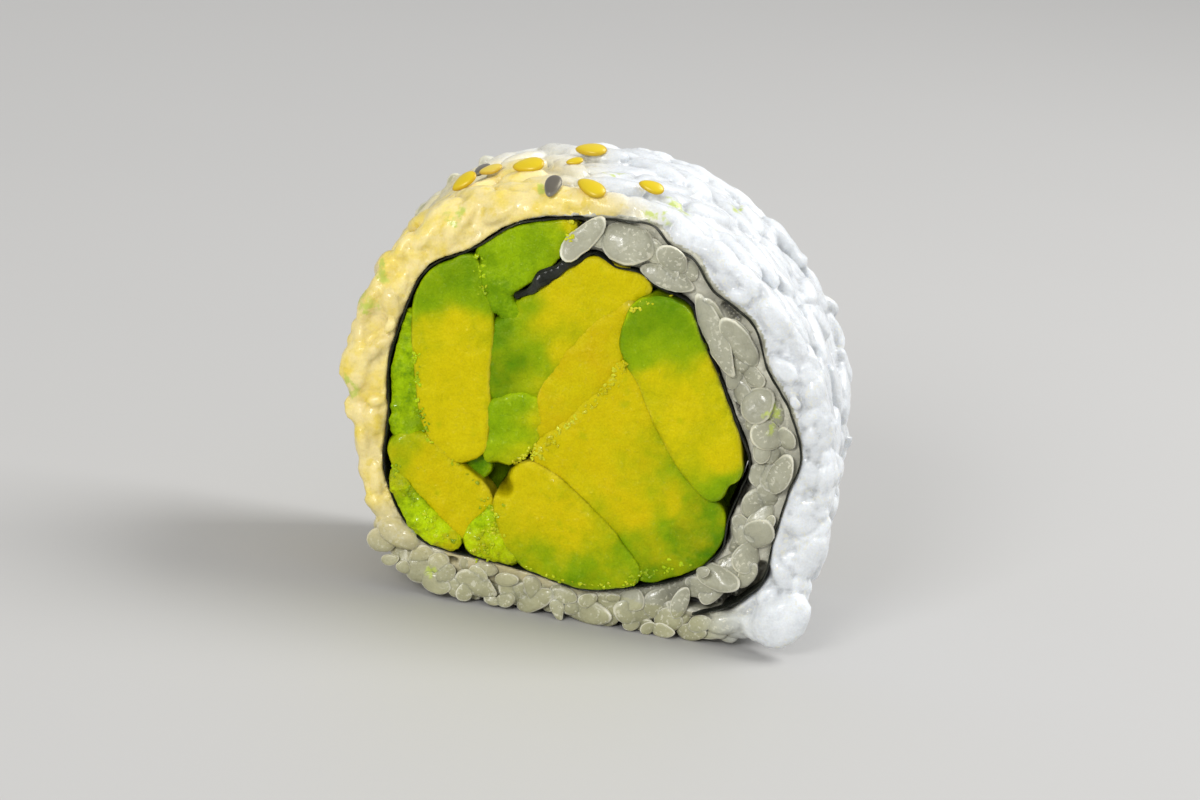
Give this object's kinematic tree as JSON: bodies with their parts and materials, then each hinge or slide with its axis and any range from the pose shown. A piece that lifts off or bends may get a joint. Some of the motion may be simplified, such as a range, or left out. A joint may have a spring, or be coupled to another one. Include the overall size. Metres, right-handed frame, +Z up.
{
  "type": "uramaki roll",
  "caption": "Slice of an inside-out sushi roll: a ring of rice grains with sesame round a nori spiral filled with avocado slices.",
  "frame": {"origin": "on the table, under the middle of the roll, on the flattened patch that it rests on", "axes": "+Z up, Y along the roll's own axis with the shown cut face towards -Y, X to the right of that face"},
  "size_m": [0.0483, 0.0249, 0.043],
  "materials": {
    "rice": "cooked rice, moist and slightly translucent, cream at the left and white at the right",
    "nori": "damp roasted seaweed, satin, nearly black green",
    "avocado_left_slab": "moist avocado flesh, yellow with a green upper end",
    "avocado_rim_sliver": "moist avocado flesh, green",
    "avocado_lower_slab": "moist avocado flesh, yellow with a green outer end",
    "avocado_lower_strip": "glossy lime green avocado flesh",
    "avocado_curl": "moist avocado flesh, green",
    "avocado_upper_slab": "moist avocado flesh, green at the lower left and yellow at the upper right",
    "avocado_ochre_wedge": "moist avocado flesh, ochre yellow",
    "avocado_round": "moist avocado flesh, yellow green",
    "avocado_centre_slab": "moist avocado flesh, yellow with a green lower right end",
    "avocado_bottom_slab": "moist avocado flesh, yellow with a green underside",
    "avocado_right_slab": "moist avocado flesh, yellow with a green top",
    "avocado_recess": "dark green avocado flesh, set back",
    "avocado_mash": "crumbly yellow green avocado mash"
  },
  "bodies": {
    "root": {"rice": "rice", "nori": "nori", "avocado_left_slab": "avocado_left_slab", "avocado_rim_sliver": "avocado_rim_sliver", "avocado_lower_slab": "avocado_lower_slab", "avocado_lower_strip": "avocado_lower_strip", "avocado_curl": "avocado_curl", "avocado_upper_slab": "avocado_upper_slab", "avocado_ochre_wedge": "avocado_ochre_wedge", "avocado_round": "avocado_round", "avocado_centre_slab": "avocado_centre_slab", "avocado_bottom_slab": "avocado_bottom_slab", "avocado_right_slab": "avocado_right_slab", "avocado_recess": "avocado_recess", "avocado_mash": "avocado_mash"}
  },
  "joints": []
}
